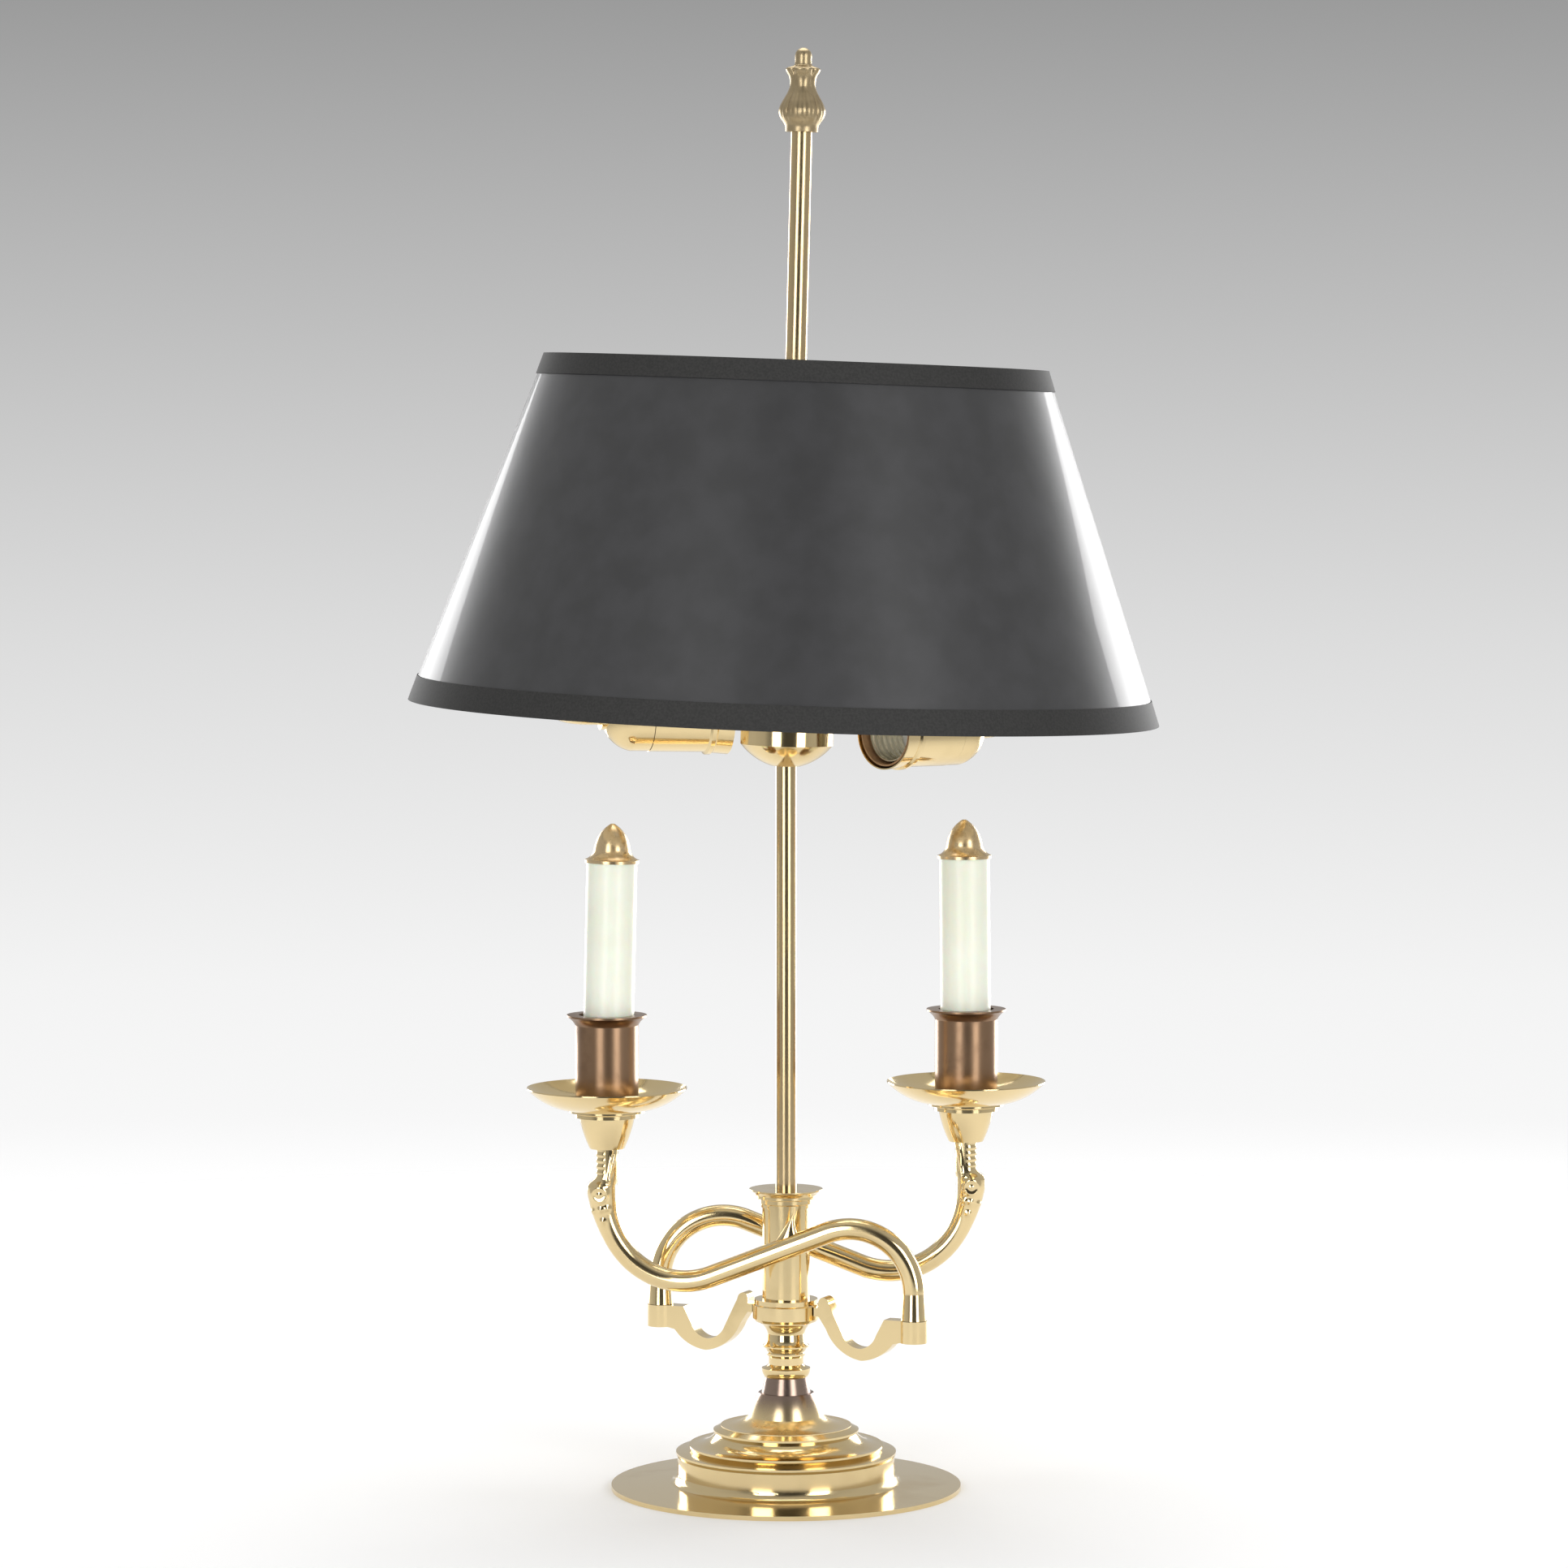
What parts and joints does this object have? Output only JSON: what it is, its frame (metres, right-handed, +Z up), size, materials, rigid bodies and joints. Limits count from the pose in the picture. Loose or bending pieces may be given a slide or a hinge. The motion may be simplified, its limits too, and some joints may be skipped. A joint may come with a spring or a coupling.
{
  "type": "bouillotte lamp",
  "caption": "Brass table lamp with a flared dark shade sliding on a rod, horizontal sockets under it, and swinging S-shaped arms that carry dummy candles.",
  "frame": {"origin": "middle of the base where it rests on the table", "axes": "+Z up along the lower rod, +X to the viewer's right, -Y to the viewer's front; the upper part leans 1.4 degrees to +X as in the picture"},
  "size_m": [0.3645, 0.3648, 0.7019],
  "materials": {
    "polished_brass": "polished, lacquered",
    "aged_brass": "unlacquered with brown spotting",
    "cast_brass": "dull casting",
    "dark_bronze": "dark brown patina",
    "violet_patina": "purplish brown tarnish",
    "ivory_sleeve": "smooth, slightly translucent",
    "shade_black": "satin laminated paper",
    "trim_black": "ribbed tape",
    "steel": "zinc plated",
    "iron": "raw casting",
    "felt": "glued felt",
    "liner_board": "varnished board",
    "porcelain": "unglazed",
    "screw_metal": "rolled thread",
    "knob_black": "moulded"
  },
  "bodies": {
    "stand": {"base_shell": "polished_brass", "felt_pad": "felt", "base_weight": "iron", "base_washer": "steel", "base_lock_nut": "steel", "cord_bushing": "knob_black", "bell_neck": "violet_patina", "collar_band": "violet_patina", "baluster": "polished_brass", "hub_ring": "polished_brass", "column_tube": "polished_brass", "column_cap": "polished_brass", "lower_rod": "aged_brass", "left_arm_bracket": "polished_brass", "left_arm_pivot_pin": "steel", "right_arm_bracket": "polished_brass", "right_arm_pivot_pin": "steel", "cluster_body": "polished_brass", "cluster_lid": "polished_brass", "left_socket_cap": "polished_brass", "left_socket_shell": "polished_brass", "left_socket_liner": "liner_board", "left_socket_core": "porcelain", "left_screw_shell": "screw_metal", "left_socket_arm": "polished_brass", "right_socket_cap": "polished_brass", "right_socket_shell": "polished_brass", "right_socket_liner": "liner_board", "right_socket_core": "porcelain", "right_screw_shell": "screw_metal", "right_socket_arm": "polished_brass", "upper_rod": "aged_brass"},
    "left_arm_group": {"left_arm": "polished_brass", "left_candle_cone": "polished_brass", "left_drip_dish": "polished_brass", "left_candle_cup": "dark_bronze", "left_candle_stud": "steel", "left_candle_nut": "steel", "left_candle_sleeve": "ivory_sleeve", "left_candle_cap": "aged_brass"},
    "right_arm_group": {"right_arm": "polished_brass", "right_candle_cone": "polished_brass", "right_drip_dish": "polished_brass", "right_candle_cup": "dark_bronze", "right_candle_stud": "steel", "right_candle_nut": "steel", "right_candle_sleeve": "ivory_sleeve", "right_candle_cap": "aged_brass"},
    "shade": {"shade_skin": "shade_black", "bottom_trim": "trim_black", "top_trim": "trim_black", "bottom_wire_ring": "steel", "top_wire_ring": "steel", "shade_hub": "polished_brass", "shade_spider": "polished_brass"},
    "thumb_screw": {"shade_thumb_screw": "polished_brass"},
    "left_knob": {"left_switch_knob": "knob_black"},
    "right_knob": {"right_switch_knob": "knob_black"},
    "finial": {"finial": "cast_brass"}
  },
  "joints": [
    {"name": "left_arm_swing", "type": "hinge", "parent": "stand", "child": "left_arm_group", "pos_m": [0.06186, -0.02651, 0.0869], "axis": [0, 0, 1], "range_deg": [0, 120]},
    {"name": "right_arm_swing", "type": "hinge", "parent": "stand", "child": "right_arm_group", "pos_m": [-0.06186, 0.02651, 0.0869], "axis": [0, 0, 1], "range_deg": [-5, 115]},
    {"name": "shade_height", "type": "slide", "parent": "stand", "child": "shade", "axis": [0.0244, 0, 0.9997], "range_m": [-0.11, 0.11]},
    {"name": "thumb_screw_turn", "type": "hinge", "parent": "shade", "child": "thumb_screw", "pos_m": [0.00432, 0, 0.53145], "axis": [0, 1, 0], "range_deg": [0, 360]},
    {"name": "left_switch_turn", "type": "hinge", "parent": "stand", "child": "left_knob", "pos_m": [-0.05872, 0.02627, 0.39425], "axis": [0.0244, 0, 0.9997], "continuous": true},
    {"name": "right_switch_turn", "type": "hinge", "parent": "stand", "child": "right_knob", "pos_m": [0.07007, 0.00958, 0.3881], "axis": [0.0244, 0, 0.9997], "continuous": true},
    {"name": "finial_turn", "type": "hinge", "parent": "stand", "child": "finial", "pos_m": [0.00769, 0, 0.66921], "axis": [0.0244, 0, 0.9997], "continuous": true}
  ]
}
